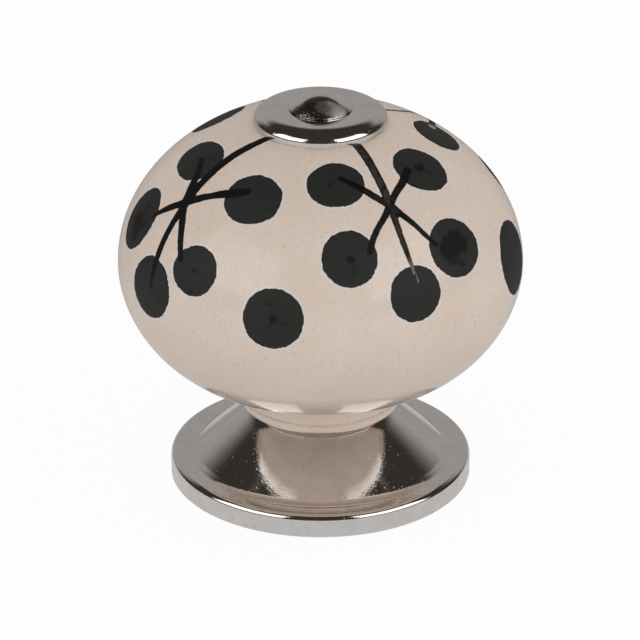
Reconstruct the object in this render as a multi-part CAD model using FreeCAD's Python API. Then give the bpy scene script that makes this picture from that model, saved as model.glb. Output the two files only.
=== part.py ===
import FreeCAD, Part
import math
import os

from FreeCAD import Vector

# Ceramic knob for a cabinet door or drawer. Sizes are in millimetres.
# +Z points away from the door, and the origin is the centre of the base's seating face.

# Ceramic ball: oblate, with an elliptical crown and a fuller, flatter belly
ball_dia = 40.0
widest_height = 23.2
crown_rise = 15.6
belly_drop = 12.15
belly_side_reach = 5.3
belly_floor_reach = 7.7
belly_floor_slope = 2.7

# Ceramic foot: cove under the ball, short collar, and a bead at its lower edge
collar_dia = 15.3
bead_projection = 0.3
bead_height = 0.9
cove_radius = 1.3
bore_mouth_chamfer = 0.4

# Base: upright rim, flat ring, and a hollow flare up to the neck. The flare is a cone with a cove
# at its foot and a slower curve at the neck; its slopes are measured from the knob's axis.
base_dia = 30.0
rim_height = 2.35
rim_edge_round = 0.6
rim_foot_chamfer = 0.15
neck_dia = 13.7
neck_height = 7.55
neck_slope = 37.0
neck_curve_radius = 6.0
flare_slope = 49.5
foot_cove_radius = 1.5
neck_lip_round = 0.15

# Underside of the base: seating land, recess of even wall, and the boss round the thread
land_width = 1.3
base_wall = 1.3
boss_wall = 2.3
boss_setback = 0.4
recess_round = 0.3

# Stem of the base: stands up in the ceramic, with a tapped hole right through it
thread_major_dia = 4.0
thread_tap_dia = 3.3
thread_mouth_chamfer = 0.4
stem_wall = 1.8
stem_height = 21.0
stem_chamfer = 0.5
stem_side_clearance = 0.4
stem_end_clearance = 1.0

# Cap: cupped washer with a rolled edge and a shallow seat for the bolt's head
cap_dia = 13.1
cap_height = 1.5
cap_roll_width = 1.85
cap_rim_lip = 0.4
cap_sheet = 0.7
head_seat_depth = 0.2
head_side_clearance = 0.1
cap_hole_clearance = 0.15

# Bolt: plain domed head, shank down into the stem
head_dia = 6.2
head_height = 1.7
head_edge_height = 0.35
shank_side_clearance = 0.6
bolt_grip = 7.5
bolt_tip_chamfer = 0.4
bolt_tip_clearance = 0.5
thread_play = 0.03

# Soft rings that keep metal off the glaze
foot_ring_thickness = 0.2
foot_ring_margin = 0.4
cap_ring_side_clearance = 0.2

# Radii and heights that follow from the sizes above
ball_radius = ball_dia / 2
collar_radius = collar_dia / 2
base_radius = base_dia / 2
neck_radius = neck_dia / 2
major_radius = thread_major_dia / 2
tap_radius = thread_tap_dia / 2
boss_radius = major_radius + boss_wall
stem_radius = major_radius + stem_wall
stem_bore_radius = stem_radius + stem_side_clearance
shank_bore_radius = major_radius + shank_side_clearance
cap_radius = cap_dia / 2
cap_flat_radius = cap_radius - cap_roll_width
head_radius = head_dia / 2
foot_height = neck_height + foot_ring_thickness
collar_top_height = widest_height - belly_drop
crown_seat_height = widest_height + crown_rise * math.sqrt(1 - (cap_radius / ball_radius) ** 2)
cap_top_height = crown_seat_height + cap_height
head_seat_height = cap_top_height - head_seat_depth
bolt_tip_height = stem_height - bolt_grip


def at(radius, height):
    # A point of a half section, drawn in the plane that is then turned about the axis
    return Vector(radius, 0, height)


def line(*points):
    return [Part.LineSegment(a, b).toShape() for a, b in zip(points, points[1:])]


def quarter_oval(start, corner, end):
    # A quarter of an ellipse that leaves start towards corner and arrives at end from corner
    curve = Part.BezierCurve()
    curve.setPoles([start, corner, end])
    curve.setWeight(2, math.sqrt(0.5))
    return [curve.toShape()]


def turned(edges):
    face = Part.Face(Part.Wire(Part.__sortEdges__(edges)))
    return face.revolve(Vector(0, 0, 0), Vector(0, 0, 1), 360)


def circles_at(solid, spots):
    # The round edges of a turned solid that pass through the given points of its half section
    found = []
    for edge in solid.Edges:
        if not edge.Degenerated and isinstance(edge.Curve, Part.Circle):
            spot = at(edge.Curve.Radius, edge.Curve.Center.z)
            if any(spot.distanceToPoint(wanted) < 1e-4 for wanted in spots):
                found.append(edge)
    return found


def softened(solid, radius, *spots):
    return solid.makeFillet(radius, circles_at(solid, spots))


def bevelled(solid, size, *spots):
    return solid.makeChamfer(size, circles_at(solid, spots))


def crown():
    # A piece of one ellipse, from the widest circle up to the cap's seat
    oval = Part.Ellipse(at(ball_radius, widest_height), at(0, widest_height + crown_rise), at(0, widest_height))
    return [Part.Arc(oval, 0, math.acos(cap_radius / ball_radius)).toShape()]


def belly():
    # Leaves the collar nearly flat and arrives upright at the widest circle
    slope = math.radians(belly_floor_slope)
    start = at(collar_radius, collar_top_height)
    end = at(ball_radius, widest_height)
    curve = Part.BezierCurve()
    curve.setPoles([start, start + at(math.cos(slope), math.sin(slope)) * belly_floor_reach,
                    end - at(0, belly_side_reach), end])
    return [curve.toShape()]


def ceramic_body():
    foot_corner = at(collar_radius, foot_height)
    bead_crest = at(collar_radius + bead_projection, foot_height + bead_height / 2)
    bead_top = at(collar_radius, foot_height + bead_height)
    collar_top = at(collar_radius, collar_top_height)
    stem_mouth = at(stem_bore_radius, foot_height)
    stem_end_height = stem_height + stem_end_clearance
    outline = line(collar_top, bead_top)
    outline += [Part.Arc(bead_top, bead_crest, foot_corner).toShape()]
    outline += line(foot_corner, stem_mouth, at(stem_bore_radius, stem_end_height),
                    at(shank_bore_radius, stem_end_height), at(shank_bore_radius, crown_seat_height),
                    at(cap_radius, crown_seat_height))
    outline += crown() + belly()
    body = softened(turned(outline), cove_radius, collar_top)
    return bevelled(body, bore_mouth_chamfer, stem_mouth)


def arc_about(centre, radius, start_lean, end_lean):
    # Seen from the centre the arc lies towards the axis and downwards; a lean is measured from level
    spots = []
    for lean in (start_lean, (start_lean + end_lean) / 2, end_lean):
        angle = math.radians(lean)
        spots.append(centre - at(math.cos(angle), math.sin(angle)) * radius)
    return Part.Arc(*spots).toShape(), spots[0], spots[2]


def flare(inset, top_lean):
    # From the neck down to the ring, drawn the given depth inside the flare's skin
    slope = math.radians(flare_slope)
    lean = math.radians(neck_slope)
    neck_centre = at(neck_radius, neck_height) + at(math.cos(lean), math.sin(lean)) * neck_curve_radius
    cone_top = neck_centre - at(math.cos(slope), math.sin(slope)) * neck_curve_radius
    cove_centre_height = rim_height + foot_cove_radius
    cone_drop = cone_top.z - (cove_centre_height - foot_cove_radius * math.sin(slope))
    cove_centre = at(cone_top.x + cone_drop * math.tan(slope) + foot_cove_radius * math.cos(slope),
                     cove_centre_height)
    upper, top, cone_start = arc_about(neck_centre, neck_curve_radius + inset, top_lean, flare_slope)
    lower, cone_end, foot = arc_about(cove_centre, foot_cove_radius + inset, flare_slope, 90)
    return [upper] + line(cone_start, cone_end) + [lower], top, foot


def ceiling_lean():
    # Where the recess's flat ceiling meets the curve one wall inside the neck
    centre_height = neck_height + neck_curve_radius * math.sin(math.radians(neck_slope))
    drop = centre_height - (neck_height - base_wall)
    return math.degrees(math.asin(drop / (neck_curve_radius + base_wall)))


def base_rose():
    rim_edge = at(base_radius, rim_height)
    rim_foot = at(base_radius, 0)
    stem_top = at(stem_radius, stem_height)
    thread_change_height = bolt_tip_height - bolt_tip_clearance
    thread_mouth = at(tap_radius, boss_setback)
    boss_foot = at(boss_radius, boss_setback)
    boss_root = at(boss_radius, neck_height - base_wall)
    land_root = at(base_radius - land_width, rim_height - base_wall)
    land_inner = at(base_radius - land_width, 0)
    skin, neck, ring_inner = flare(0, neck_slope)
    underside, neck_inside, ring_inside = flare(base_wall, ceiling_lean())
    outline = line(land_inner, rim_foot, rim_edge, ring_inner) + skin
    outline += line(neck, at(stem_radius, neck_height), stem_top,
                    at(major_radius + thread_play, stem_height),
                    at(major_radius + thread_play, thread_change_height),
                    at(tap_radius, thread_change_height), thread_mouth, boss_foot, boss_root, neck_inside)
    outline += underside + line(ring_inside, land_root, land_inner)
    rose = turned(outline)
    rose = softened(rose, rim_edge_round, rim_edge)
    rose = softened(rose, neck_lip_round, neck)
    rose = softened(rose, recess_round, boss_root, land_root)
    rose = bevelled(rose, rim_foot_chamfer, rim_foot)
    rose = bevelled(rose, thread_mouth_chamfer, thread_mouth)
    return bevelled(rose, stem_chamfer, stem_top)


def foot_ring():
    inner = stem_bore_radius + bore_mouth_chamfer
    outer = neck_radius - foot_ring_margin
    return turned(line(at(inner, neck_height), at(outer, neck_height), at(outer, foot_height),
                       at(inner, foot_height), at(inner, neck_height)))


def cap_washer():
    hole_radius = major_radius + cap_hole_clearance
    seat_radius = head_radius + head_side_clearance
    rim_top = crown_seat_height + cap_rim_lip
    underside = cap_top_height - cap_sheet
    rim_inner_radius = cap_radius - cap_sheet
    outline = line(at(hole_radius, underside), at(hole_radius, head_seat_height),
                   at(seat_radius, head_seat_height), at(seat_radius, cap_top_height),
                   at(cap_flat_radius, cap_top_height))
    outline += quarter_oval(at(cap_flat_radius, cap_top_height), at(cap_radius, cap_top_height),
                            at(cap_radius, rim_top))
    outline += line(at(cap_radius, rim_top), at(cap_radius, crown_seat_height),
                    at(rim_inner_radius, crown_seat_height), at(rim_inner_radius, rim_top))
    outline += quarter_oval(at(rim_inner_radius, rim_top), at(rim_inner_radius, underside),
                            at(cap_flat_radius, underside))
    outline += line(at(cap_flat_radius, underside), at(hole_radius, underside))
    return turned(outline)


def cap_ring():
    underside = cap_top_height - cap_sheet
    outer = cap_flat_radius - cap_ring_side_clearance
    return turned(line(at(shank_bore_radius, crown_seat_height), at(outer, crown_seat_height),
                       at(outer, underside), at(shank_bore_radius, underside),
                       at(shank_bore_radius, crown_seat_height)))


def cap_bolt():
    dome_top = at(0, head_seat_height + head_height)
    dome_foot = at(head_radius, head_seat_height + head_edge_height)
    dome_rise = head_height - head_edge_height
    dome_curve = (head_radius ** 2 + dome_rise ** 2) / (2 * dome_rise)
    half_lean = math.asin(head_radius / dome_curve) / 2
    dome_middle = dome_top + at(math.sin(half_lean), math.cos(half_lean) - 1) * dome_curve
    tip = at(major_radius, bolt_tip_height)
    outline = line(at(0, bolt_tip_height), tip, at(major_radius, head_seat_height),
                   at(head_radius, head_seat_height), dome_foot)
    outline += [Part.Arc(dome_foot, dome_middle, dome_top).toShape()]
    outline += line(dome_top, at(0, bolt_tip_height))
    return bevelled(turned(outline), bolt_tip_chamfer, tip)


def export(name, solid):
    solid.exportStep(f"parts/{name}.step")


os.makedirs("parts", exist_ok=True)
export("ceramic_body", ceramic_body())
export("base_rose", base_rose())
export("foot_ring", foot_ring())
export("cap_washer", cap_washer())
export("cap_ring", cap_ring())
export("cap_bolt", cap_bolt())
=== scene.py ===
import math
import bmesh
import bpy
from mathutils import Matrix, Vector


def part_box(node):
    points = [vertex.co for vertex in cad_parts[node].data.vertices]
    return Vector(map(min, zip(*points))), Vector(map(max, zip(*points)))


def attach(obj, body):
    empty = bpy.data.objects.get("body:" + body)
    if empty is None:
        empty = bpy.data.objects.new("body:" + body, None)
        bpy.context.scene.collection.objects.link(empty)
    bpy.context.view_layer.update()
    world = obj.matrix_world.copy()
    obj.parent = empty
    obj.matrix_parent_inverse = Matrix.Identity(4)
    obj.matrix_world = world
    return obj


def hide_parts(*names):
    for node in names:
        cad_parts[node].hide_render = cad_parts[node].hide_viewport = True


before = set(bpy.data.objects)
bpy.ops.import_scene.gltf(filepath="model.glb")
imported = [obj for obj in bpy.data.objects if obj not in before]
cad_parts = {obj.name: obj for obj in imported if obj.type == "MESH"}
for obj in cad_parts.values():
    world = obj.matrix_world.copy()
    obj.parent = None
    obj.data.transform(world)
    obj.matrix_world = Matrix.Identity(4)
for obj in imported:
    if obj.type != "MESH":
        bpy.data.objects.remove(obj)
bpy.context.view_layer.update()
print("frame loaded:", ", ".join(sorted(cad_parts)))


# Small helpers for colours, nodes and trees

def screenColour(red, green, blue):
    # 0 to 255 as a screen shows it, turned into linear light
    def linear(level):
        share = level / 255
        return share / 12.92 if share <= 0.04045 else ((share + 0.055) / 1.055) ** 2.4
    return (linear(red), linear(green), linear(blue), 1.0)


def addNode(tree, kind, settings, inputs):
    node = tree.nodes.new(kind)
    for name, value in settings.items():
        setattr(node, name, value)
    for key, value in inputs.items():
        if isinstance(value, bpy.types.NodeSocket):
            tree.links.new(value, node.inputs[key])
        else:
            node.inputs[key].default_value = value
    return node


def maths(tree, operation, *values):
    return addNode(tree, "ShaderNodeMath", {"operation": operation}, dict(enumerate(values))).outputs[0]


def vectorMaths(tree, operation, *values):
    node = addNode(tree, "ShaderNodeVectorMath", {"operation": operation}, dict(enumerate(values)))
    return node.outputs["Value" if operation in ("LENGTH", "DOT_PRODUCT") else "Vector"]


def ramp(tree, value, low, high, start=0.0, end=1.0, kind="SMOOTHSTEP"):
    # Goes from start at low to end at high, and stays there outside
    return addNode(tree, "ShaderNodeMapRange", {"interpolation_type": kind},
                   {"Value": value, "From Min": low, "From Max": high,
                    "To Min": start, "To Max": end}).outputs["Result"]


def blend(tree, share, first, second):
    node = addNode(tree, "ShaderNodeMix", {"data_type": "RGBA", "clamp_factor": True}, {"Factor": share})
    for key, value in ((6, first), (7, second)):
        if isinstance(value, bpy.types.NodeSocket):
            tree.links.new(value, node.inputs[key])
        else:
            node.inputs[key].default_value = value
    return node.outputs[2]


def noise(tree, place, scale, detail=2.0, roughness=0.5):
    return addNode(tree, "ShaderNodeTexNoise", {"noise_dimensions": "3D"},
                   {"Vector": place, "Scale": scale, "Detail": detail, "Roughness": roughness}).outputs[0]


def newGroup(name, kind, inputs, outputs):
    group = bpy.data.node_groups.new(name, kind)
    for label, socket, value in inputs:
        made = group.interface.new_socket(label, in_out="INPUT", socket_type=socket)
        if value is not None:
            made.default_value = value
    for label, socket in outputs:
        group.interface.new_socket(label, in_out="OUTPUT", socket_type=socket)
    return group, group.nodes.new("NodeGroupInput").outputs, group.nodes.new("NodeGroupOutput").inputs


# Half sections: lists of (radius, height), with round corners where the real piece has them

def straight(start, end, spacing):
    count = max(1, round(math.dist(start, end) / spacing))
    return [tuple(a + (b - a) * i / count for a, b in zip(start, end)) for i in range(count + 1)]


def conic(start, corner, end, weight, count):
    # Leaves start towards corner and arrives at end from corner
    points = []
    for i in range(count + 1):
        t = i / count
        shares = ((1 - t) ** 2, 2 * weight * t * (1 - t), t ** 2)
        points.append(tuple(sum(s * p[k] for s, p in zip(shares, (start, corner, end))) / sum(shares)
                            for k in (0, 1)))
    return points


def bezier(poles, count):
    points = []
    for i in range(count + 1):
        t = i / count
        shares = ((1 - t) ** 3, 3 * t * (1 - t) ** 2, 3 * t ** 2 * (1 - t), t ** 3)
        points.append(tuple(sum(s * p[k] for s, p in zip(shares, poles)) for k in (0, 1)))
    return points


def arcBetween(centre, radius, start, end, count):
    first = math.atan2(start[1] - centre[1], start[0] - centre[0])
    last = math.atan2(end[1] - centre[1], end[0] - centre[0])
    turn = (last - first + math.pi) % (2 * math.pi) - math.pi
    angles = [first + turn * i / count for i in range(count + 1)]
    return [(centre[0] + radius * math.cos(a), centre[1] + radius * math.sin(a)) for a in angles]


def joined(*stretches):
    outline = []
    for stretch in stretches:
        outline += stretch[1:] if outline else stretch
    return outline


def walked(outline, start, step, length):
    # The point that lies that far along the outline, and the index of the next one
    here = start
    while math.dist(outline[here], outline[here + step]) < length:
        length -= math.dist(outline[here], outline[here + step])
        here += step
    share = length / math.dist(outline[here], outline[here + step])
    return tuple(a + (b - a) * share for a, b in zip(outline[here], outline[here + step])), here + step


def softened(outline, corner, radius, count):
    k = min(range(len(outline)), key=lambda i: math.dist(outline[i], corner))
    before = Vector(outline[k]) - Vector(outline[k - 1])
    after = Vector(outline[k + 1]) - Vector(outline[k])
    turn = before.angle(after)
    start, last = walked(outline, k, -1, radius * math.tan(turn / 2))
    end, first = walked(outline, k, 1, radius * math.tan(turn / 2))
    return outline[:last + 1] + conic(start, corner, end, math.cos(turn / 2), count) + outline[first:]


# Geometry Nodes: a half section turned about the axis, and the painted marks on the ball

def buildTurnedTree():
    tree, given, out = newGroup("turnedPiece", "GeometryNodeTree",
                                [("Geometry", "NodeSocketGeometry", None), ("Steps", "NodeSocketInt", 256),
                                 ("Sharp Angle", "NodeSocketFloat", 0.6), ("Weld", "NodeSocketFloat", 2e-7),
                                 ("Material", "NodeSocketMaterial", None)],
                                [("Geometry", "NodeSocketGeometry")])
    count = addNode(tree, "GeometryNodeAttributeDomainSize", {"component": "MESH"},
                    {"Geometry": given["Geometry"]}).outputs["Point Count"]
    grid = addNode(tree, "GeometryNodeMeshGrid", {},
                   {"Size X": 1.0, "Size Y": 1.0, "Vertices X": maths(tree, "ADD", given["Steps"], 1),
                    "Vertices Y": count})
    index = tree.nodes.new("GeometryNodeInputIndex").outputs[0]
    position = tree.nodes.new("GeometryNodeInputPosition").outputs[0]
    sampled = addNode(tree, "GeometryNodeSampleIndex", {"data_type": "FLOAT_VECTOR"},
                      {"Geometry": given["Geometry"], "Value": position,
                       "Index": maths(tree, "MODULO", index, count)}).outputs[0]
    split = addNode(tree, "ShaderNodeSeparateXYZ", {}, {0: sampled}).outputs
    column = maths(tree, "FLOOR", maths(tree, "DIVIDE", maths(tree, "ADD", index, 0.5), count))
    angle = maths(tree, "MULTIPLY", maths(tree, "DIVIDE", column, given["Steps"]), 2 * math.pi)
    across = maths(tree, "MULTIPLY", split["X"], maths(tree, "SINE", angle))
    away = maths(tree, "MULTIPLY", maths(tree, "COSINE", angle), -1.0)
    forward = maths(tree, "MULTIPLY", split["X"], away)
    place = addNode(tree, "ShaderNodeCombineXYZ", {}, {"X": across, "Y": forward, "Z": split["Z"]})
    moved = addNode(tree, "GeometryNodeSetPosition", {},
                    {"Geometry": grid.outputs["Mesh"], "Position": place.outputs[0]})
    welded = addNode(tree, "GeometryNodeMergeByDistance", {},
                     {"Geometry": moved.outputs[0], "Distance": given["Weld"]})
    smooth = addNode(tree, "GeometryNodeSetShadeSmooth", {"domain": "FACE"}, {"Geometry": welded.outputs[0]})
    fold = tree.nodes.new("GeometryNodeInputMeshEdgeAngle").outputs["Unsigned Angle"]
    sharp = maths(tree, "GREATER_THAN", fold, given["Sharp Angle"])
    edged = addNode(tree, "GeometryNodeSetShadeSmooth", {"domain": "EDGE"},
                    {"Geometry": smooth.outputs[0], "Selection": sharp, "Shade Smooth": False})
    real = addNode(tree, "GeometryNodeRealizeInstances", {}, {"Geometry": edged.outputs[0]})
    dressed = addNode(tree, "GeometryNodeSetMaterial", {},
                      {"Geometry": real.outputs[0], "Material": given["Material"]})
    tree.links.new(dressed.outputs[0], out["Geometry"])
    return tree


def buildMarksTree():
    tree, given, out = newGroup("paintedMarks", "GeometryNodeTree",
                                [("Geometry", "NodeSocketGeometry", None),
                                 ("Dots", "NodeSocketObject", None),
                                 ("Stems", "NodeSocketObject", None),
                                 ("Material", "NodeSocketMaterial", None)],
                                [("Geometry", "NodeSocketGeometry")])
    here = tree.nodes.new("GeometryNodeInputPosition").outputs[0]

    def reader(source):
        marks = addNode(tree, "GeometryNodeObjectInfo", {"transform_space": "ORIGINAL"},
                        {"Object": source}).outputs["Geometry"]
        nearest = addNode(tree, "GeometryNodeSampleNearest", {"domain": "POINT"},
                          {"Geometry": marks}).outputs[0]

        def read(name, kind):
            if name == "position":
                value = here
            else:
                value = addNode(tree, "GeometryNodeInputNamedAttribute", {"data_type": kind},
                                {"Name": name}).outputs["Attribute"]
            return addNode(tree, "GeometryNodeSampleIndex", {"data_type": kind},
                           {"Geometry": marks, "Value": value, "Index": nearest}).outputs[0]
        return read

    dot = reader(given["Dots"])
    stem = reader(given["Stems"])
    offset = vectorMaths(tree, "SUBTRACT", here, dot("position", "FLOAT_VECTOR"))
    across = vectorMaths(tree, "DOT_PRODUCT", offset, dot("across", "FLOAT_VECTOR"))
    upward = vectorMaths(tree, "DOT_PRODUCT", offset, dot("upward", "FLOAT_VECTOR"))
    share = maths(tree, "SQRT", maths(tree, "ADD", maths(tree, "MULTIPLY", across, across),
                                      maths(tree, "MULTIPLY", upward, upward)))
    dotEdge = maths(tree, "MULTIPLY", maths(tree, "SUBTRACT", share, 1.0), dot("size", "FLOAT"))
    gap = vectorMaths(tree, "LENGTH", vectorMaths(tree, "SUBTRACT", here, stem("position", "FLOAT_VECTOR")))
    stemEdge = maths(tree, "SUBTRACT", gap, stem("halfWidth", "FLOAT"))
    flow = given["Geometry"]
    for name, value in (("dotEdge", dotEdge), ("dotShare", share), ("dotDark", dot("dark", "FLOAT")),
                        ("stemEdge", stemEdge), ("stemBrown", stem("brown", "FLOAT")),
                        ("stemPale", stem("pale", "FLOAT"))):
        flow = addNode(tree, "GeometryNodeStoreNamedAttribute", {"data_type": "FLOAT", "domain": "POINT"},
                       {"Geometry": flow, "Name": name, "Value": value}).outputs[0]
    real = addNode(tree, "GeometryNodeRealizeInstances", {}, {"Geometry": flow})
    dressed = addNode(tree, "GeometryNodeSetMaterial", {},
                      {"Geometry": real.outputs[0], "Material": given["Material"]})
    tree.links.new(dressed.outputs[0], out["Geometry"])
    return tree


def addTree(piece, tree, values):
    modifier = piece.modifiers.new(tree.name, "NODES")
    modifier.node_group = tree
    for item in tree.interface.items_tree:
        if item.in_out == "INPUT" and item.name in values:
            modifier[item.identifier] = values[item.name]


def plainMesh(piece, name):
    # Turns what the trees give into an ordinary mesh object, closed and facing outwards
    bpy.context.view_layer.update()
    depsgraph = bpy.context.evaluated_depsgraph_get()
    mesh = bpy.data.meshes.new_from_object(piece.evaluated_get(depsgraph), preserve_all_data_layers=True,
                                           depsgraph=depsgraph)
    bpy.data.objects.remove(piece)
    solid = bmesh.new()
    solid.from_mesh(mesh)
    bmesh.ops.dissolve_degenerate(solid, dist=1e-8, edges=solid.edges)
    bmesh.ops.recalc_face_normals(solid, faces=solid.faces)
    loose = sum(not edge.is_manifold for edge in solid.edges)
    volume = solid.calc_volume(signed=True)
    solid.to_mesh(mesh)
    solid.free()
    mesh.name = name
    made = bpy.data.objects.new(name, mesh)
    bpy.context.scene.collection.objects.link(made)
    print(f"{name}: {len(mesh.polygons)} faces, {volume * 1e9:.0f} mm3, {loose} open edges")
    return made


def turnedPiece(name, outline, steps, material, extraTrees=()):
    mesh = bpy.data.meshes.new(name + "Outline")
    mesh.from_pydata([(r, 0, z) for r, z in outline], [(i, i + 1) for i in range(len(outline) - 1)], [])
    piece = bpy.data.objects.new(name + "Outline", mesh)
    bpy.context.scene.collection.objects.link(piece)
    addTree(piece, turnedTree, {"Steps": steps, "Material": material})
    for tree, values in extraTrees:
        addTree(piece, tree, values)
    return plainMesh(piece, name)


def dressedNode(node, name, outline, steps, material, extraTrees=()):
    made = turnedPiece(name, outline, steps, material, extraTrees)
    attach(made, "root")
    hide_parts(node)


turnedTree = buildTurnedTree()
marksTree = buildMarksTree()

# Shared shader effects

def buildGrainGroup():
    # Fine unevenness of a cast or fired skin: a height in metres for Bump, and a mask for the gloss
    group, given, out = newGroup("skinGrain", "ShaderNodeTree",
                                 [("Fine Size", "NodeSocketFloat", 0.0004),
                                  ("Broad Size", "NodeSocketFloat", 0.003),
                                  ("Broad Share", "NodeSocketFloat", 0.5)],
                                 [("Height", "NodeSocketFloat"), ("Patches", "NodeSocketFloat")])
    place = group.nodes.new("ShaderNodeTexCoord").outputs["Object"]
    fine = noise(group, place, maths(group, "DIVIDE", 1.0, given["Fine Size"]), 3.0)
    broad = noise(group, place, maths(group, "DIVIDE", 1.0, given["Broad Size"]), 2.0)
    fineShare = maths(group, "SUBTRACT", 1.0, given["Broad Share"])
    mixed = maths(group, "ADD", maths(group, "MULTIPLY", fine, fineShare),
                  maths(group, "MULTIPLY", broad, given["Broad Share"]))
    group.links.new(mixed, out["Height"])
    group.links.new(broad, out["Patches"])
    return group


def buildSpeckGroup():
    # Small round specks with an uneven strength, one at most in each cell
    group, given, out = newGroup("specks", "ShaderNodeTree",
                                 [("Cell Size", "NodeSocketFloat", 0.0015),
                                  ("Speck Size", "NodeSocketFloat", 0.08),
                                  ("Share Kept", "NodeSocketFloat", 0.3)],
                                 [("Mask", "NodeSocketFloat")])
    place = group.nodes.new("ShaderNodeTexCoord").outputs["Object"]
    cells = addNode(group, "ShaderNodeTexVoronoi", {"feature": "F1"},
                    {"Vector": place, "Scale": maths(group, "DIVIDE", 1.0, given["Cell Size"])})
    near = ramp(group, cells.outputs["Distance"], given["Speck Size"], 0.0)
    pick = addNode(group, "ShaderNodeSeparateColor", {}, {0: cells.outputs["Color"]}).outputs
    kept = maths(group, "LESS_THAN", pick[0], given["Share Kept"])
    strength = maths(group, "MULTIPLY", maths(group, "MULTIPLY", near, kept), pick[1])
    group.links.new(strength, out["Mask"])
    return group


def buildWornSpotGroup():
    # An oval patch of the given half sizes round a spot, with a ragged edge
    group, given, out = newGroup("spotMask", "ShaderNodeTree",
                                 [("Spot", "NodeSocketVector", (0, 0, 0)),
                                  ("Half Size", "NodeSocketVector", (1, 1, 1)),
                                  ("Raggedness", "NodeSocketFloat", 0.3),
                                  ("Grain Size", "NodeSocketFloat", 0.0003)],
                                 [("Mask", "NodeSocketFloat")])
    place = group.nodes.new("ShaderNodeTexCoord").outputs["Object"]
    offset = vectorMaths(group, "SUBTRACT", place, given["Spot"])
    reach = vectorMaths(group, "LENGTH", vectorMaths(group, "DIVIDE", offset, given["Half Size"]))
    grain = noise(group, place, maths(group, "DIVIDE", 1.0, given["Grain Size"]), 3.0)
    ragged = maths(group, "MULTIPLY", maths(group, "SUBTRACT", grain, 0.5), given["Raggedness"])
    group.links.new(ramp(group, maths(group, "ADD", reach, ragged), 1.35, 0.65), out["Mask"])
    return group


grainGroup = buildGrainGroup()
speckGroup = buildSpeckGroup()
spotMaskGroup = buildWornSpotGroup()


def newMaterial(name):
    material = bpy.data.materials.new(name)
    material.use_nodes = True
    tree = material.node_tree
    shader = tree.nodes["Principled BSDF"]
    return material, tree, shader


def useGroup(tree, group, values):
    return addNode(tree, "ShaderNodeGroup", {"node_tree": group}, values).outputs


# Cream glaze with black brush paint

glazeLook = {
    "cream": screenColour(215, 199, 186),
    "creamWarm": screenColour(204, 185, 169),
    "speck": screenColour(176, 148, 120),
    "dotGrey": screenColour(36, 36, 34),
    "dotBlack": screenColour(8, 8, 4),
    "stemBlack": screenColour(1, 1, 0),
    "stemBrown": screenColour(60, 50, 43),
    "paleEdge": screenColour(150, 146, 142),
    "halo": screenColour(211, 205, 206),
    "warmShare": 0.3,
    "speckShare": 0.75,
    "fineSpeckShare": 0.5,
    "mottleShare": 0.18,
    "mottleScale": 2600,       # noise scales count the waves in a metre
    "roughness": 0.1,
    "paintRoughness": 0.62,
    "ior": 1.39,
    "waveHeight": 0.00024,     # fine waves along the edge of a dot, and less of them along a stem
    "waveScale": 2300,
    "stemWaves": 0.45,
    "wobbleHeight": 0.00034,   # slow wander of a dot's edge
    "wobbleScale": 420,
    "edgeBlur": 0.00004,
    "haloFrom": 0.00006,       # pale line round a dot, where the paint drew the glaze back
    "haloTo": 0.00028,
    "haloShare": 0.75,
    "blotchScale": 520,
    "blotchShare": 0.38,       # how much darker the middle of a blotchy dot gets
    "heartShare": 0.22,        # small mark where the brush was lifted
    "streakScale": 1300,
    "bumpHeight": 0.0000035,
}


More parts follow.
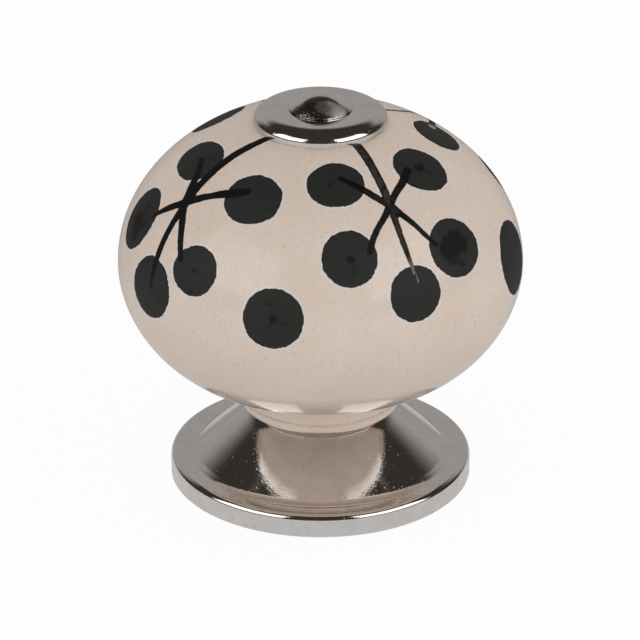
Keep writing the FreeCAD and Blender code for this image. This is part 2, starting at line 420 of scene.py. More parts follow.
def paintedGlaze(look):
    material, tree, shader = newMaterial("paintedGlaze")
    place = tree.nodes.new("ShaderNodeTexCoord").outputs["Object"]

    def mark(name):
        return addNode(tree, "ShaderNodeAttribute", {"attribute_name": name}, {}).outputs["Fac"]

    grain = useGroup(tree, grainGroup, {"Fine Size": 0.0007, "Broad Size": 0.006, "Broad Share": 0.75})
    specks = useGroup(tree, speckGroup, {"Cell Size": 0.0021, "Speck Size": 0.1, "Share Kept": 0.36})
    warm = ramp(tree, grain["Patches"], 0.3, 0.75, 0.0, look["warmShare"])
    colour = blend(tree, warm, look["cream"], look["creamWarm"])
    colour = blend(tree, maths(tree, "MULTIPLY", specks["Mask"], look["speckShare"]), colour, look["speck"])
    fine = useGroup(tree, speckGroup, {"Cell Size": 0.0009, "Speck Size": 0.24, "Share Kept": 0.45})
    fineShare = maths(tree, "MULTIPLY", fine["Mask"], look["fineSpeckShare"])
    colour = blend(tree, fineShare, colour, look["speck"])
    mottle = noise(tree, place, look["mottleScale"], 3.0, 0.7)
    mottle = ramp(tree, mottle, 0.42, 0.72, 0.0, look["mottleShare"])
    colour = blend(tree, mottle, colour, look["speck"])

    def unevenness(scale, height):
        return maths(tree, "MULTIPLY", maths(tree, "SUBTRACT", noise(tree, place, scale, 1.0), 0.5), height)

    waves = unevenness(look["waveScale"], look["waveHeight"])
    wobble = unevenness(look["wobbleScale"], look["wobbleHeight"])
    dotEdge = maths(tree, "ADD", mark("dotEdge"), maths(tree, "ADD", waves, wobble))
    stemEdge = maths(tree, "ADD", mark("stemEdge"), maths(tree, "MULTIPLY", waves, look["stemWaves"]))
    inDot = ramp(tree, dotEdge, look["edgeBlur"], -look["edgeBlur"])
    inStem = ramp(tree, stemEdge, look["edgeBlur"], -look["edgeBlur"])
    halo = ramp(tree, dotEdge, look["haloTo"], look["haloFrom"], 0.0, look["haloShare"])

    middle = maths(tree, "MULTIPLY", mark("dotDark"),
                   ramp(tree, mark("dotShare"), 0.98, 0.4, 0.0, look["blotchShare"]))
    blotch = maths(tree, "ADD", noise(tree, place, look["blotchScale"], 3.0, 0.6), middle)
    heart = maths(tree, "MULTIPLY", ramp(tree, mark("dotShare"), 0.24, 0.0, 0.0, look["heartShare"]),
                  ramp(tree, mark("dotDark"), 0.12, 0.24))
    dark = ramp(tree, maths(tree, "ADD", blotch, heart), 0.66, 0.8)
    dotColour = blend(tree, dark, look["dotGrey"], look["dotBlack"])
    streak = ramp(tree, noise(tree, place, look["streakScale"], 2.0), 0.3, 0.62)
    core = ramp(tree, mark("stemEdge"), -0.00006, -0.00024)
    brown = maths(tree, "MULTIPLY", mark("stemBrown"), maths(tree, "MULTIPLY", streak, core))
    brown = maths(tree, "MULTIPLY", brown, maths(tree, "SUBTRACT", 1.0, inDot))
    stemColour = blend(tree, brown, look["stemBlack"], look["stemBrown"])
    stemColour = blend(tree, mark("stemPale"), stemColour, look["paleEdge"])

    colour = blend(tree, halo, colour, look["halo"])
    colour = blend(tree, inDot, colour, dotColour)
    colour = blend(tree, inStem, colour, stemColour)
    tree.links.new(colour, shader.inputs["Base Color"])
    rough = ramp(tree, grain["Patches"], 0.3, 0.7, look["roughness"] * 0.8, look["roughness"] * 1.3)
    painted = maths(tree, "MAXIMUM", inDot, inStem)
    rough = ramp(tree, painted, 0.0, 1.0, rough, look["paintRoughness"], "LINEAR")
    tree.links.new(rough, shader.inputs["Roughness"])
    shader.inputs["IOR"].default_value = look["ior"]
    bump = addNode(tree, "ShaderNodeBump", {}, {"Strength": 1.0, "Distance": look["bumpHeight"],
                                                "Height": grain["Height"]})
    tree.links.new(bump.outputs[0], shader.inputs["Normal"])
    return material


# Bright chrome with a cast skin under it

chromeLook = {
    "tint": (0.83, 0.80, 0.775, 1.0),
    "dull": (0.75, 0.71, 0.68, 1.0),
    "dullShare": 0.6,
    "speck": (0.20, 0.18, 0.165, 1.0),
    "speckCell": 0.00042,
    "speckSize": 0.5,
    "specksKept": 0.6,
    "speckShare": 0.22,
    "speckRoughness": 0.45,
    "roughness": 0.06,
    "bumpHeight": 0.000008,
}


def brightChrome(name, look, grainSize, bumpShare, wearAndPaintedReflection=None):
    material, tree, shader = newMaterial(name)
    grain = useGroup(tree, grainGroup, {"Fine Size": grainSize, "Broad Size": grainSize * 7,
                                        "Broad Share": 0.35})
    specks = useGroup(tree, speckGroup, {"Cell Size": look["speckCell"], "Speck Size": look["speckSize"],
                                         "Share Kept": look["specksKept"]})
    patch = ramp(tree, grain["Patches"], 0.35, 0.75, 0.0, look["dullShare"])
    colour = blend(tree, patch, look["tint"], look["dull"])
    colour = blend(tree, maths(tree, "MULTIPLY", specks["Mask"], look["speckShare"]), colour, look["speck"])
    shader.inputs["Metallic"].default_value = 1.0
    rough = ramp(tree, grain["Patches"], 0.3, 0.7, look["roughness"] * 0.7, look["roughness"] * 1.5)
    rough = maths(tree, "MAXIMUM", rough, maths(tree, "MULTIPLY", specks["Mask"], look["speckRoughness"]))
    bump = addNode(tree, "ShaderNodeBump", {}, {"Strength": 1.0, "Distance": look["bumpHeight"] * bumpShare,
                                                "Height": grain["Height"]})
    if wearAndPaintedReflection:
        rubbed = useGroup(tree, spotMaskGroup, {"Spot": wearAndPaintedReflection["rubbedSpot"], "Half Size": wearAndPaintedReflection["rubbedSize"],
                                                "Raggedness": 0.5, "Grain Size": 0.0009})["Mask"]
        pitsAndPaintedDarkReflection = useGroup(tree, spotMaskGroup, {"Spot": wearAndPaintedReflection["pittedSpot"], "Half Size": wearAndPaintedReflection["pittedSize"],
                                                "Raggedness": 0.9, "Grain Size": 0.0008})["Mask"]
        rough = maths(tree, "MAXIMUM", rough, maths(tree, "MULTIPLY", rubbed, wearAndPaintedReflection["rubbedRoughness"]))
        rough = maths(tree, "MAXIMUM", rough, maths(tree, "MULTIPLY", pitsAndPaintedDarkReflection, wearAndPaintedReflection["pittedRoughness"]))
        # darkening the pitted patch's colour is a painted dark reflection on the dome
        colour = blend(tree, maths(tree, "MULTIPLY", pitsAndPaintedDarkReflection, wearAndPaintedReflection["pittedPaintedDarkReflection"]), colour, look["speck"])
        place = tree.nodes.new("ShaderNodeTexCoord").outputs["Object"]
        pits = noise(tree, place, 1 / wearAndPaintedReflection["pitSize"], 2.0, 0.7)
        bump = addNode(tree, "ShaderNodeBump", {}, {"Strength": pitsAndPaintedDarkReflection, "Distance": wearAndPaintedReflection["pitDepth"],
                                                    "Height": pits, "Normal": bump.outputs[0]})
    tree.links.new(colour, shader.inputs["Base Color"])
    tree.links.new(rough, shader.inputs["Roughness"])
    tree.links.new(bump.outputs[0], shader.inputs["Normal"])
    return material


# Wear on the bolt's domed head: one rubbed patch, and pits where the casting was poor. The pitted patch's
# colour is also darkened, which is a painted dark reflection

boltWearAndPaintedReflection = {
    "rubbedSpot": (0.0010, -0.0020, 0.0402),
    "rubbedSize": (0.0018, 0.0008, 0.0020),
    "rubbedRoughness": 0.55,
    "pittedSpot": (-0.0010, -0.0024, 0.0400),
    "pittedSize": (0.0022, 0.0012, 0.0020),
    "pittedRoughness": 0.2,
    # how much the pitted patch's colour is darkened: a painted dark reflection
    "pittedPaintedDarkReflection": 0.9,
    "pitSize": 0.00035,
    "pitDepth": 0.00006,
}

# Soft rings: dull dark rubber

ringLook = {
    "black": screenColour(34, 32, 30),
    "dusty": screenColour(58, 54, 50),
    "roughness": 0.7,
    "bumpHeight": 0.000006,
}


def softRubber(look):
    material, tree, shader = newMaterial("softRubber")
    grain = useGroup(tree, grainGroup, {"Fine Size": 0.00012, "Broad Size": 0.001, "Broad Share": 0.4})
    tree.links.new(blend(tree, grain["Patches"], look["black"], look["dusty"]), shader.inputs["Base Color"])
    tree.links.new(ramp(tree, grain["Patches"], 0.3, 0.7, look["roughness"] - 0.1, look["roughness"] + 0.1),
                   shader.inputs["Roughness"])
    bump = addNode(tree, "ShaderNodeBump", {}, {"Strength": 1.0, "Distance": look["bumpHeight"],
                                                "Height": grain["Height"]})
    tree.links.new(bump.outputs[0], shader.inputs["Normal"])
    return material


glaze = paintedGlaze(glazeLook)
baseChrome = brightChrome("baseChrome", chromeLook, 0.00022, 1.0)
capChrome = brightChrome("capChrome", chromeLook, 0.00022, 1.2)
boltChrome = brightChrome("boltChrome", chromeLook, 0.00035, 1.5, boltWearAndPaintedReflection)
rubber = softRubber(ringLook)
print("materials made")

# The ceramic ball, from its foot to the flat under the cap

bodyLow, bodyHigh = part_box("ceramic_body")
ball = {
    "radius": bodyHigh.x,
    "widest": 0.0232,
    "rise": 0.0156,
    "bellyDrop": 0.01215,
    "sideReach": 0.0053,
    "floorReach": 0.0077,
    "floorSlope": math.radians(2.7),
    "collarRadius": 0.00765,
    "beadProjection": 0.0003,
    "beadHeight": 0.0009,
    "coveRadius": 0.0013,
    "mouthChamfer": 0.0004,
    "stemBoreRadius": 0.0042,
    "stemBoreTop": 0.022,
    "shankBoreRadius": 0.0026,
    "foot": bodyLow.z,
    "capSeat": bodyHigh.z,
    "capRadius": 0.00655,
    "bellyLength": 0.021,    # rough lengths of the two curves, which set how finely they are cut
    "crownLength": 0.0215,
    "spacing": 0.0003,
    "collarSpacing": 0.00015,
    "boreSpacing": 0.002,
    "steps": 400,
}


def crownRadius(height):
    return ball["radius"] * math.sqrt(1 - ((height - ball["widest"]) / ball["rise"]) ** 2)


def ballOutline(size):
    collarTop = (size["collarRadius"], size["widest"] - size["bellyDrop"])
    slope = size["floorSlope"]
    belly = bezier([collarTop,
                    (collarTop[0] + size["floorReach"] * math.cos(slope),
                     collarTop[1] + size["floorReach"] * math.sin(slope)),
                    (size["radius"], size["widest"] - size["sideReach"]),
                    (size["radius"], size["widest"])], round(size["bellyLength"] / size["spacing"]))
    top = math.acos(size["capRadius"] / size["radius"])
    count = round(size["crownLength"] / size["spacing"])
    crown = [(size["radius"] * math.cos(top * i / count),
              size["widest"] + size["rise"] * math.sin(top * i / count)) for i in range(count + 1)]
    foot, mouth = size["foot"], size["mouthChamfer"]
    bore, shank, gap = size["stemBoreRadius"], size["shankBoreRadius"], size["boreSpacing"]
    beadFoot = (collarTop[0], foot)
    beadTop = (collarTop[0], foot + size["beadHeight"])
    sag = size["beadProjection"]
    beadArc = ((size["beadHeight"] / 2) ** 2 + sag ** 2) / (2 * sag)
    beadCentre = (collarTop[0] + sag - beadArc, foot + size["beadHeight"] / 2)
    outline = joined(
        [(bore + mouth, foot), beadFoot],
        arcBetween(beadCentre, beadArc, beadFoot, beadTop, 12),
        straight(beadTop, collarTop, size["collarSpacing"]),
        belly,
        crown,
        [crown[-1], (shank, crown[-1][1])],
        straight((shank, crown[-1][1]), (shank, size["stemBoreTop"]), gap),
        [(shank, size["stemBoreTop"]), (bore, size["stemBoreTop"])],
        straight((bore, size["stemBoreTop"]), (bore, foot + mouth), gap),
        [(bore, foot + mouth), (bore + mouth, foot)])
    return softened(outline, collarTop, size["coveRadius"], 14)


# Painted marks. Each mark is laid by its angle round the ball in degrees (0 in front, growing to
# the right), its height and its size in millimetres. A dot has its angle, height, half width, half
# height, lean in degrees and how dark it is; a stem has the points that the brush went through,
# each with its angle, height and width. Brown is how much of the stem is brownish, fade how pale
# it ends, and thin how pale it is all along.

leftSprig = {
    "dots": [
        (-73.3, 35.52, 3.38, 2.50, 5, 0.25),
        (-75.5, 29.82, 3.00, 3.28, 0, 0.62),
        (-56.5, 25.31, 3.18, 3.02, 0, 0.25),
        (-40.3, 28.63, 2.64, 2.46, 0, 0.30),
        (-29.5, 34.93, 3.00, 2.77, -14, 0.05),
    ],
    "stems": [
        {"brown": 0.0, "fade": 0.0, "points": [
            (-52.0, 38.00, 0.85), (-56.0, 37.30, 1.00), (-57.8, 36.40, 1.05), (-57.7, 34.60, 0.95),
            (-57.0, 33.20, 0.90), (-56.7, 31.10, 0.80), (-56.4, 28.40, 0.78), (-55.9, 25.20, 0.30)]},
        {"brown": 0.0, "fade": 0.0, "points": [
            (-71.4, 35.60, 0.60), (-64.6, 34.95, 0.85), (-60.0, 33.90, 0.95), (-56.9, 32.90, 0.90),
            (-53.0, 31.83, 0.84), (-50.1, 30.75, 0.76), (-46.4, 29.10, 0.70)]},
        {"brown": 0.0, "fade": 0.0, "points": [
            (-33.3, 35.27, 0.75), (-38.4, 34.98, 1.00), (-44.0, 34.64, 0.95), (-48.6, 34.24, 0.78),
            (-53.0, 33.75, 0.90), (-57.2, 33.15, 0.90), (-61.8, 32.38, 0.82), (-65.3, 31.64, 0.68),
            (-68.2, 30.85, 0.45)]},
    ],
}

rightSprig = {
    "dots": [
        (7.8, 36.21, 2.84, 2.71, 15, 0.0),
        (9.4, 31.17, 2.70, 2.74, 0, 0.30),
        (28.4, 27.44, 2.76, 2.68, 20, 0.05),
        (46.4, 30.20, 3.07, 2.92, 0, 0.85),
        (56.1, 35.89, 2.99, 2.78, -15, 0.38),
    ],
    "stems": [
        {"brown": 0.9, "fade": 1.0, "points": [
            (32.4, 38.00, 1.00), (31.6, 37.37, 0.96), (30.5, 36.63, 0.90), (29.5, 35.40, 0.90),
            (28.6, 34.10, 0.76), (28.2, 32.80, 0.66), (28.3, 31.60, 0.60), (28.7, 30.20, 0.46),
            (29.7, 28.35, 0.14)]},
        {"brown": 0.3, "fade": 0.0, "points": [
            (10.2, 36.52, 0.50), (15.8, 36.15, 0.68), (21.1, 35.62, 0.78), (25.5, 35.00, 0.80),
            (29.3, 34.45, 0.78), (31.8, 33.75, 0.72), (34.9, 32.86, 0.60), (37.4, 31.83, 0.56),
            (39.8, 30.90, 0.50)]},
        {"brown": 0.25, "fade": 0.0, "points": [
            (49.0, 36.12, 0.80), (45.5, 35.95, 0.84), (41.2, 35.65, 0.82), (35.1, 35.23, 0.72),
            (29.4, 34.62, 0.72), (25.0, 33.87, 0.66), (20.8, 33.15, 0.62), (17.9, 32.35, 0.64),
            (16.2, 31.50, 0.62)]},
    ],
}

backSprig = {
    "dots": [
        (98.4, 35.92, 2.88, 2.62, -14, 0.10),
        (105.6, 30.60, 2.80, 2.30, 0, 0.30),
        (128.5, 26.20, 2.90, 2.80, 0, 0.20),
        (147.0, 28.90, 2.95, 2.85, 0, 0.45),
        (151.0, 34.20, 2.80, 2.70, 0, 0.15),
    ],
    "stems": [
        {"brown": 1.0, "fade": 0.0, "thin": 0.3, "points": [
            (116.5, 38.00, 0.46), (119.2, 37.55, 0.44), (121.2, 37.05, 0.46), (125.0, 36.40, 0.50),
            (128.0, 35.60, 0.70), (129.5, 34.20, 0.80), (130.0, 32.00, 0.72), (129.4, 29.40, 0.60),
            (128.6, 27.00, 0.30)]},
        {"brown": 0.5, "fade": 1.0, "points": [
            (147.5, 30.50, 0.60), (142.0, 32.00, 0.80), (135.5, 33.50, 0.85), (129.5, 34.60, 0.85),
            (124.0, 35.00, 0.75), (117.0, 35.45, 0.75), (111.5, 35.80, 0.80), (106.0, 36.00, 0.80)]},
        {"brown": 0.5, "fade": 0.0, "points": [
            (148.5, 34.40, 0.70), (141.0, 34.80, 0.85), (134.0, 34.90, 0.85), (128.5, 34.50, 0.80),
            (121.0, 33.60, 0.75), (112.0, 32.30, 0.75), (107.5, 31.60, 0.75), (103.6, 31.05, 0.70)]},
    ],
}

# The fourth sprig repeats the right one at the back: turn is added to each angle
sprigPlaces = [
    {"sprig": leftSprig, "turn": 0, "lift": 0.0},
    {"sprig": rightSprig, "turn": 0, "lift": 0.0},
    {"sprig": backSprig, "turn": 0, "lift": 0.0},
    {"sprig": rightSprig, "turn": -176.2, "lift": -0.05},
]

loneDots = [
    (-13.4, 25.82, 3.00, 2.95, 0, 0.25),
    (74.8, 25.82, 3.66, 3.69, 0, 0.10),
    (170, 25.4, 3.05, 2.90, 0, 0.35),
    (-101, 25.6, 2.90, 3.05, 0, 0.20),
]

paint = {
    "brushSpacing": 0.00008,
    "highest": 38.0,      # a stem starts under the cap
    "paleFrom": 0.84,     # share of a fading stem's length after which its paint runs out
}
mm = 0.001


def onBall(angle, height):
    turn = math.radians(angle)
    radius = crownRadius(height * mm)
    return Vector((radius * math.sin(turn), -radius * math.cos(turn), height * mm))


def placedMarks():
    dots, stems = list(loneDots), []
    for spot in sprigPlaces:
        for angle, height, wide, high, lean, dark in spot["sprig"]["dots"]:
            dots.append((angle + spot["turn"], height + spot["lift"], wide, high, lean, dark))
        for stem in spot["sprig"]["stems"]:
            points = [(angle + spot["turn"], min(height + spot["lift"], paint["highest"]), width)
                      for angle, height, width in stem["points"]]
            stems.append({"points": points, "brown": stem["brown"], "fade": stem["fade"],
                          "thin": stem.get("thin", 0.0)})
    return dots, stems


def marksObject(name, places, values):
    # Bare points that carry the values of the marks
    mesh = bpy.data.meshes.new(name)
    mesh.from_pydata(places, [], [])
    for label, kind, numbers in values:
        field = mesh.attributes.new(label, kind, "POINT")
        for item, number in zip(field.data, numbers):
            if kind == "FLOAT_VECTOR":
                item.vector = number
            else:
                item.value = number
    made = bpy.data.objects.new(name, mesh)
    bpy.context.scene.collection.objects.link(made)
    return made


def dotMarks(dots):
    places, across, upward, size, dark = [], [], [], [], []
    for angle, height, wide, high, lean, darkness in dots:
        centre = onBall(angle, height)
        sideways = (onBall(angle + 0.5, height) - onBall(angle - 0.5, height)).normalized()
        uphill = (onBall(angle, height + 0.05) - onBall(angle, height - 0.05)).normalized()
        turn = math.radians(lean)
        places.append(centre)
        across.append((sideways * math.cos(turn) + uphill * math.sin(turn)) / (wide * mm))
        upward.append((uphill * math.cos(turn) - sideways * math.sin(turn)) / (high * mm))
        size.append(math.sqrt(wide * high) * mm)
        dark.append(darkness)
    return marksObject("dotMarks", places, [
        ("across", "FLOAT_VECTOR", across), ("upward", "FLOAT_VECTOR", upward),
        ("size", "FLOAT", size), ("dark", "FLOAT", dark)])


def throughPoints(points, t):
    # A smooth line through the points, at t counted in points from the first
    i = min(int(t), len(points) - 2)
    u = t - i
    before, here, there = points[max(i - 1, 0)], points[i], points[i + 1]
    after = points[min(i + 2, len(points) - 1)]
    return [b + 0.5 * ((c - a) * u + (2 * a - 5 * b + 4 * c - d) * u ** 2
                       + (3 * b - a - 3 * c + d) * u ** 3)
            for a, b, c, d in zip(before, here, there, after)]


def stemMarks(stems):
    places, halfWidth, brown, pale = [], [], [], []
    for stem in stems:
        points = stem["points"]
        for i in range(len(points) - 1):
            reach = (onBall(*points[i][:2]) - onBall(*points[i + 1][:2])).length
            count = math.ceil(reach / paint["brushSpacing"])
            for k in range(count):
                t = i + k / count
                angle, height, width = throughPoints(points, t)
                places.append(onBall(angle, height))
                halfWidth.append(width * mm / 2)
                brown.append(stem["brown"])
                runOut = (t / (len(points) - 1) - paint["paleFrom"]) / (1 - paint["paleFrom"])
                pale.append(max(stem["thin"], stem["fade"] * runOut))
    return marksObject("stemMarks", places, [
        ("halfWidth", "FLOAT", halfWidth), ("brown", "FLOAT", brown), ("pale", "FLOAT", pale)])


dots, stems = placedMarks()
dotPoints = dotMarks(dots)
stemPoints = stemMarks(stems)
dressedNode("ceramic_body", "ceramicBall", ballOutline(ball), ball["steps"], glaze,
            [(marksTree, {"Dots": dotPoints, "Stems": stemPoints, "Material": glaze})])
bpy.data.objects.remove(dotPoints)
bpy.data.objects.remove(stemPoints)
print("ball painted with", len(dots), "dots and", len(stems), "stems")

# The chrome base: rim, ring, flare, neck, and the stem inside the ball

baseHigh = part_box("base_rose")[1]
base = {
    "radius": baseHigh.x,
    "rimHeight": 0.00235,
    "rimRound": 0.0006,
    "footChamfer": 0.00015,
    "neckRadius": 0.00685,
    "neckHeight": 0.00755,
    "neckRound": 0.00015,
    "neckSlope": math.radians(37),      # how far the flare's skin leans out from the axis at the neck
    "neckCurve": 0.006,
    "flareSlope": math.radians(49.5),
    "footCove": 0.0015,
    "landWidth": 0.0013,
    "wall": 0.0013,
    "bossRadius": 0.0043,
    "bossSetback": 0.0004,
    "recessRound": 0.0003,
    "tapRadius": 0.00165,
    "clearRadius": 0.00203,
    "threadChange": 0.013,
    "mouthChamfer": 0.0004,
    "stemRadius": 0.0038,
    "stemTop": baseHigh.z,
    "stemChamfer": 0.0005,
    "spacing": 0.0002,
    "boreSpacing": 0.001,
    "steps": 300,
}


def flareOutline(size, inset):
    # From the ring up to the neck: a cove at the foot, a straight cone, and a slower curve to the neck
    neckR, neckZ, rim = size["neckRadius"], size["neckHeight"], size["rimHeight"]
    top, slope = size["neckSlope"], size["flareSlope"]
    curve = size["neckCurve"]
    centre = (neckR + curve * math.cos(top), neckZ + curve * math.sin(top))
    meet = (centre[0] - curve * math.cos(slope), centre[1] - curve * math.sin(slope))
    cove = size["footCove"]
    coveHeight = rim + cove
    coveMeetHeight = coveHeight - cove * math.sin(slope)
    coveMeetRadius = meet[0] + (meet[1] - coveMeetHeight) * math.tan(slope)
    coveRadius = coveMeetRadius + cove * math.cos(slope)

    def bent(middle, radius, start, end, count):
        angles = [start + (end - start) * i / count for i in range(count + 1)]
        return [(middle[0] - radius * math.cos(a), middle[1] - radius * math.sin(a)) for a in angles]

    foot = bent((coveRadius, coveHeight), cove + inset, math.pi / 2, slope, 28)
    neck = bent(centre, curve + inset, slope, top, 24)
    return joined(foot, straight(foot[-1], neck[0], size["spacing"]), neck)


def baseOutline(size):
    radius, rim, neckR, neckZ = size["radius"], size["rimHeight"], size["neckRadius"], size["neckHeight"]
    wall, gap, boreGap = size["wall"], size["spacing"], size["boreSpacing"]
    flare = flareOutline(size, 0)
    ceiling = neckZ - wall
    under = [point for point in flareOutline(size, wall) if point[1] < ceiling]
    foot = size["footChamfer"]
    land = radius - size["landWidth"]
    neck, rimEdge = (neckR, neckZ), (radius, rim)
    stemR, top, cut = size["stemRadius"], size["stemTop"], size["stemChamfer"]
    boss, tap, mouth = size["bossRadius"], size["tapRadius"], size["mouthChamfer"]
    bossFoot = size["bossSetback"]
    bossRoot, landRoot = (boss, ceiling), (land, rim - wall)
    clear, change = size["clearRadius"], size["threadChange"]
    outline = joined(
        straight((land, 0), (radius - foot, 0), gap),
        [(radius - foot, 0), (radius, foot)],
        straight((radius, foot), rimEdge, gap),
        straight(rimEdge, flare[0], gap),
        flare,
        straight(neck, (stemR, neckZ), gap),
        straight((stemR, neckZ), (stemR, top - cut), boreGap),
        [(stemR, top - cut), (stemR - cut, top), (clear, top)],
        straight((clear, top), (clear, change), boreGap),
        [(clear, change), (tap, change)],
        straight((tap, change), (tap, bossFoot + mouth), boreGap),
        [(tap, bossFoot + mouth), (tap + mouth, bossFoot)],
        straight((tap + mouth, bossFoot), (boss, bossFoot), gap),
        straight((boss, bossFoot), bossRoot, gap),
        straight(bossRoot, (under[-1][0], ceiling), gap),
        [(under[-1][0], ceiling)] + under[::-1],
        straight(under[0], landRoot, gap),
        straight(landRoot, (land, 0), gap))
    outline = softened(outline, rimEdge, size["rimRound"], 12)
    outline = softened(outline, neck, size["neckRound"], 8)
    outline = softened(outline, bossRoot, size["recessRound"], 8)
    return softened(outline, landRoot, size["recessRound"], 8)


dressedNode("base_rose", "baseRose", baseOutline(base), base["steps"], baseChrome)

# The cap: a cupped washer, and the bolt with its plain domed head

capLow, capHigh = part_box("cap_washer")
boltLow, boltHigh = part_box("cap_bolt")
cap = {
    "radius": capHigh.x,
    "seat": capLow.z,
    "top": capHigh.z,
    "rollWidth": 0.00185,
    "rimLip": 0.0004,
    "sheet": 0.0007,
    "headSeat": capHigh.z - 0.0002,     # a shallow seat under the head
    "seatRadius": 0.0032,
    "holeRadius": 0.00215,
    "spacing": 0.00015,
    "steps": 300,
}
bolt = {
    "headRadius": boltHigh.x,
    "headSeat": cap["headSeat"],
    "headEdge": 0.00035,
    "headTop": boltHigh.z,
    "shankRadius": 0.002,
    "tip": boltLow.z,
    "tipChamfer": 0.0004,
    "spacing": 0.0002,
    "shankSpacing": 0.001,
    "steps": 200,
}
quarterWeight = math.sqrt(0.5)     # makes a conic a quarter of an ellipse


def capOutline(size):
    radius, top, seat, gap = size["radius"], size["top"], size["seat"], size["spacing"]
    flat, lip = radius - size["rollWidth"], seat + size["rimLip"]
    inner, under = radius - size["sheet"], top - size["sheet"]
    return joined(
        [(size["holeRadius"], under), (size["holeRadius"], size["headSeat"])],
        straight((size["holeRadius"], size["headSeat"]), (size["seatRadius"], size["headSeat"]), gap),
        [(size["seatRadius"], size["headSeat"]), (size["seatRadius"], top)],
        straight((size["seatRadius"], top), (flat, top), gap),
        conic((flat, top), (radius, top), (radius, lip), quarterWeight, 40),
        [(radius, lip), (radius, seat), (inner, seat), (inner, lip)],
        conic((inner, lip), (inner, under), (flat, under), quarterWeight, 20),
        straight((flat, under), (size["holeRadius"], under), gap))


def domeArc(radius, low, high, count):
    rise = high - low
    curve = (radius ** 2 + rise ** 2) / (2 * rise)
    outline = arcBetween((0, high - curve), curve, (radius, low), (0, high), count)
    return outline[:-1] + [(0, high)]


def boltOutline(size):
    head, edge = size["headRadius"], size["headSeat"] + size["headEdge"]
    shank, tip, cut = size["shankRadius"], size["tip"], size["tipChamfer"]
    return joined(
        [(0, tip), (shank - cut, tip), (shank, tip + cut)],
        straight((shank, tip + cut), (shank, size["headSeat"]), size["shankSpacing"]),
        straight((shank, size["headSeat"]), (head, size["headSeat"]), size["spacing"]),
        [(head, size["headSeat"]), (head, edge)],
        domeArc(head, edge, size["headTop"], 36))


dressedNode("cap_washer", "capWasher", capOutline(cap), cap["steps"], capChrome)
dressedNode("cap_bolt", "capBolt", boltOutline(bolt), bolt["steps"], boltChrome)

# The soft rings under the ceramic foot and under the cap

rings = {
    "footInner": ball["stemBoreRadius"] + ball["mouthChamfer"],
    "footSteps": 200,
    "capInner": ball["shankBoreRadius"],
    "capSteps": 160,
}


def ringOutline(node, inner):
    low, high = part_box(node)
    return joined([(inner, low.z), (high.x, low.z), (high.x, high.z), (inner, high.z), (inner, low.z)])


dressedNode("foot_ring", "footRing", ringOutline("foot_ring", rings["footInner"]), rings["footSteps"],
            rubber)
dressedNode("cap_ring", "capRing", ringOutline("cap_ring", rings["capInner"]), rings["capSteps"],
            rubber)
print("metal pieces and soft rings made")

# Studio: a white floor, and a sky with two soft panels in front, dark gaps and a grey backdrop

studio = {
    "floorSize": 3.0,
    "floorDrop": 1e-5,        # keeps the floor clear of the base's seating face
    "floorWhite": 0.78,
    "floorShown": 0.95,       # how much of the floor's white stays in the object's shadow
    "floorMirrored": 0.575,   # the floor's brightness as metal shows it, in front and behind
    "floorMirroredBehind": 0.342,
    "behindFrom": 0.01,
    "behindTo": 0.06,
    "fillSide": 1.66,         # light on dull surfaces, from the sides and from above
    "fillAbove": 0.40,
    "fillRight": 0.09,        # how much more of it comes from the right and from the front
    "fillFront": 0.16,
    "dark": 0.036,
    "darkTint": (1.0, 0.86, 0.74, 1.0),
    "panel": 1.7,
    "panelFrom": 28,          # degrees round from the front, to both sides, and degrees up
    "panelTo": 87,
    "panelLow": 13,
    "panelHigh": 49,
    "panelFade": 6,
    "backdrop": 0.342,
    "backdropFrom": 131,
    "backdropHigh": 38,
    "backdropFade": 13,
    "backdropTint": (0.94, 0.897, 0.88, 1.0),
    "noTint": (1.0, 1.0, 1.0, 1.0),
    "softness": 3,
}


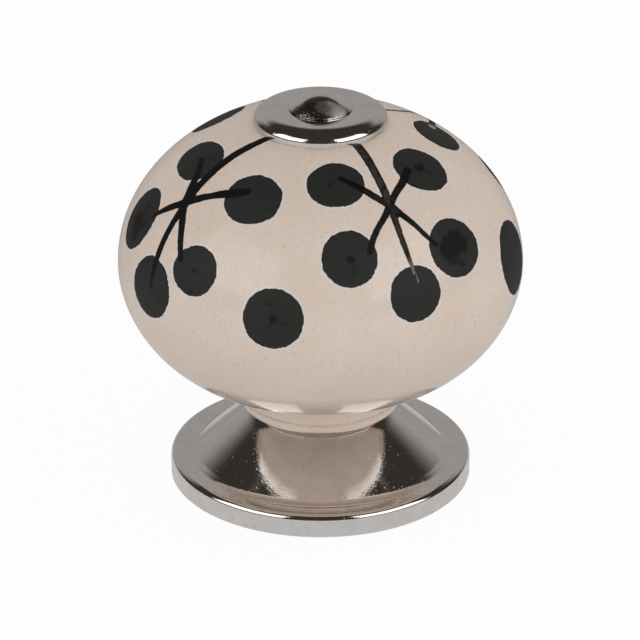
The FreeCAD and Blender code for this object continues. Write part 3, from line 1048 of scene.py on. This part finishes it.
def studioSky(look):
    world = bpy.data.worlds.new("studioSky")
    bpy.context.scene.world = world
    world.use_nodes = True
    tree = world.node_tree
    tree.nodes.clear()
    direction = tree.nodes.new("ShaderNodeTexCoord").outputs["Generated"]
    way = addNode(tree, "ShaderNodeSeparateXYZ", {}, {0: direction}).outputs
    across = maths(tree, "ABSOLUTE", way["X"])
    towards = maths(tree, "MULTIPLY", way["Y"], -1.0)
    side = maths(tree, "DEGREES", maths(tree, "ARCTAN2", across, towards))
    height = maths(tree, "DEGREES", maths(tree, "ARCSINE", way["Z"]))
    soft = look["softness"]

    def between(value, low, high):
        return maths(tree, "MULTIPLY", ramp(tree, value, low - soft, low + soft),
                     ramp(tree, value, high + soft, high - soft))

    rows = maths(tree, "MULTIPLY", ramp(tree, height, look["panelLow"] - soft, look["panelLow"] + soft),
                 ramp(tree, height, look["panelHigh"] + look["panelFade"],
                      look["panelHigh"] - look["panelFade"]))
    panel = maths(tree, "MULTIPLY", between(side, look["panelFrom"], look["panelTo"]), rows)
    fade = look["backdropFade"]
    back = maths(tree, "MULTIPLY",
                 ramp(tree, side, look["backdropFrom"] - fade, look["backdropFrom"] + fade),
                 ramp(tree, height, look["backdropHigh"] + 2 * soft, look["backdropHigh"] - 2 * soft))
    glow = maths(tree, "ADD", look["dark"], maths(tree, "ADD", maths(tree, "MULTIPLY", panel, look["panel"]),
                                                  maths(tree, "MULTIPLY", back, look["backdrop"])))
    fill = ramp(tree, way["Z"], 0.0, 1.0, look["fillSide"], look["fillAbove"], "LINEAR")
    fill = maths(tree, "ADD", fill, maths(tree, "MULTIPLY", way["X"], look["fillRight"]))
    fill = maths(tree, "ADD", fill, maths(tree, "MULTIPLY", towards, look["fillFront"]))
    paths = tree.nodes.new("ShaderNodeLightPath").outputs
    strength = addNode(tree, "ShaderNodeMix", {"data_type": "FLOAT"},
                       {0: paths["Is Glossy Ray"], 2: fill, 3: glow}).outputs[0]
    strength = addNode(tree, "ShaderNodeMix", {"data_type": "FLOAT"},
                       {0: paths["Is Camera Ray"], 2: strength, 3: 1.0}).outputs[0]
    gloom = maths(tree, "MULTIPLY", maths(tree, "SUBTRACT", 1.0, panel), paths["Is Glossy Ray"])
    tinted = blend(tree, gloom, look["noTint"], look["darkTint"])
    tinted = blend(tree, maths(tree, "MULTIPLY", back, paths["Is Glossy Ray"]), tinted, look["backdropTint"])
    sky = addNode(tree, "ShaderNodeBackground", {}, {"Color": tinted, "Strength": strength})
    tree.links.new(sky.outputs[0], tree.nodes.new("ShaderNodeOutputWorld").inputs["Surface"])


def whiteFloor(look):
    half, level = look["floorSize"] / 2, -look["floorDrop"]
    mesh = bpy.data.meshes.new("floor")
    corners = [(-half, -half, level), (half, -half, level), (half, half, level), (-half, half, level)]
    mesh.from_pydata(corners, [], [(0, 1, 2, 3)])
    floor = bpy.data.objects.new("floor", mesh)
    bpy.context.scene.collection.objects.link(floor)
    material = bpy.data.materials.new("whiteFloor")
    material.use_nodes = True
    tree = material.node_tree
    tree.nodes.clear()
    paths = tree.nodes.new("ShaderNodeLightPath").outputs
    white = look["floorWhite"]
    matt = addNode(tree, "ShaderNodeBsdfDiffuse", {}, {"Color": (white, white, white, 1)}).outputs[0]
    shown = addNode(tree, "ShaderNodeEmission", {}, {"Strength": 1.0}).outputs[0]
    place = tree.nodes.new("ShaderNodeTexCoord").outputs["Object"]
    depth = addNode(tree, "ShaderNodeSeparateXYZ", {}, {0: place}).outputs["Y"]
    behind = ramp(tree, depth, look["behindFrom"], look["behindTo"])
    mirrored = addNode(tree, "ShaderNodeEmission", {}, {
        "Color": blend(tree, behind, look["noTint"], look["backdropTint"]),
        "Strength": ramp(tree, behind, 0.0, 1.0, look["floorMirrored"], look["floorMirroredBehind"],
                         "LINEAR"),
    }).outputs[0]
    share = maths(tree, "MULTIPLY", paths["Is Camera Ray"], look["floorShown"])
    surface = addNode(tree, "ShaderNodeMixShader", {}, {0: share, 1: matt, 2: shown}).outputs[0]
    surface = addNode(tree, "ShaderNodeMixShader", {},
                      {0: paths["Is Glossy Ray"], 1: surface, 2: mirrored}).outputs[0]
    clear = tree.nodes.new("ShaderNodeBsdfTransparent").outputs[0]
    under = tree.nodes.new("ShaderNodeNewGeometry").outputs["Backfacing"]
    surface = addNode(tree, "ShaderNodeMixShader", {}, {0: under, 1: surface, 2: clear}).outputs[0]
    tree.links.new(surface, tree.nodes.new("ShaderNodeOutputMaterial").inputs["Surface"])
    mesh.materials.append(material)


studioSky(studio)
whiteFloor(studio)

# Camera at the photograph's height and distance

lens = {
    "focal": 283.1,
    "sensor": 36.0,
    "back": 0.4502,
    "up": 0.2340,
    "aim": 0.0165,     # height of the point in the middle of the picture
    "shift": -0.0007,
    "clipStart": 0.01,
    "clipEnd": 10,
}


def photoCamera(look):
    data = bpy.data.cameras.new("camera")
    data.lens = look["focal"]
    data.sensor_width = look["sensor"]
    data.shift_x = look["shift"]
    data.clip_start = look["clipStart"]
    data.clip_end = look["clipEnd"]
    camera = bpy.data.objects.new("camera", data)
    bpy.context.scene.collection.objects.link(camera)
    camera.location = (0, -look["back"], look["up"])
    aim = Vector((0, 0, look["aim"])) - camera.location
    camera.rotation_euler = aim.to_track_quat("-Z", "Y").to_euler()
    bpy.context.scene.camera = camera


photoCamera(lens)
bpy.context.scene.view_settings.view_transform = "Standard"

print("scene ready")
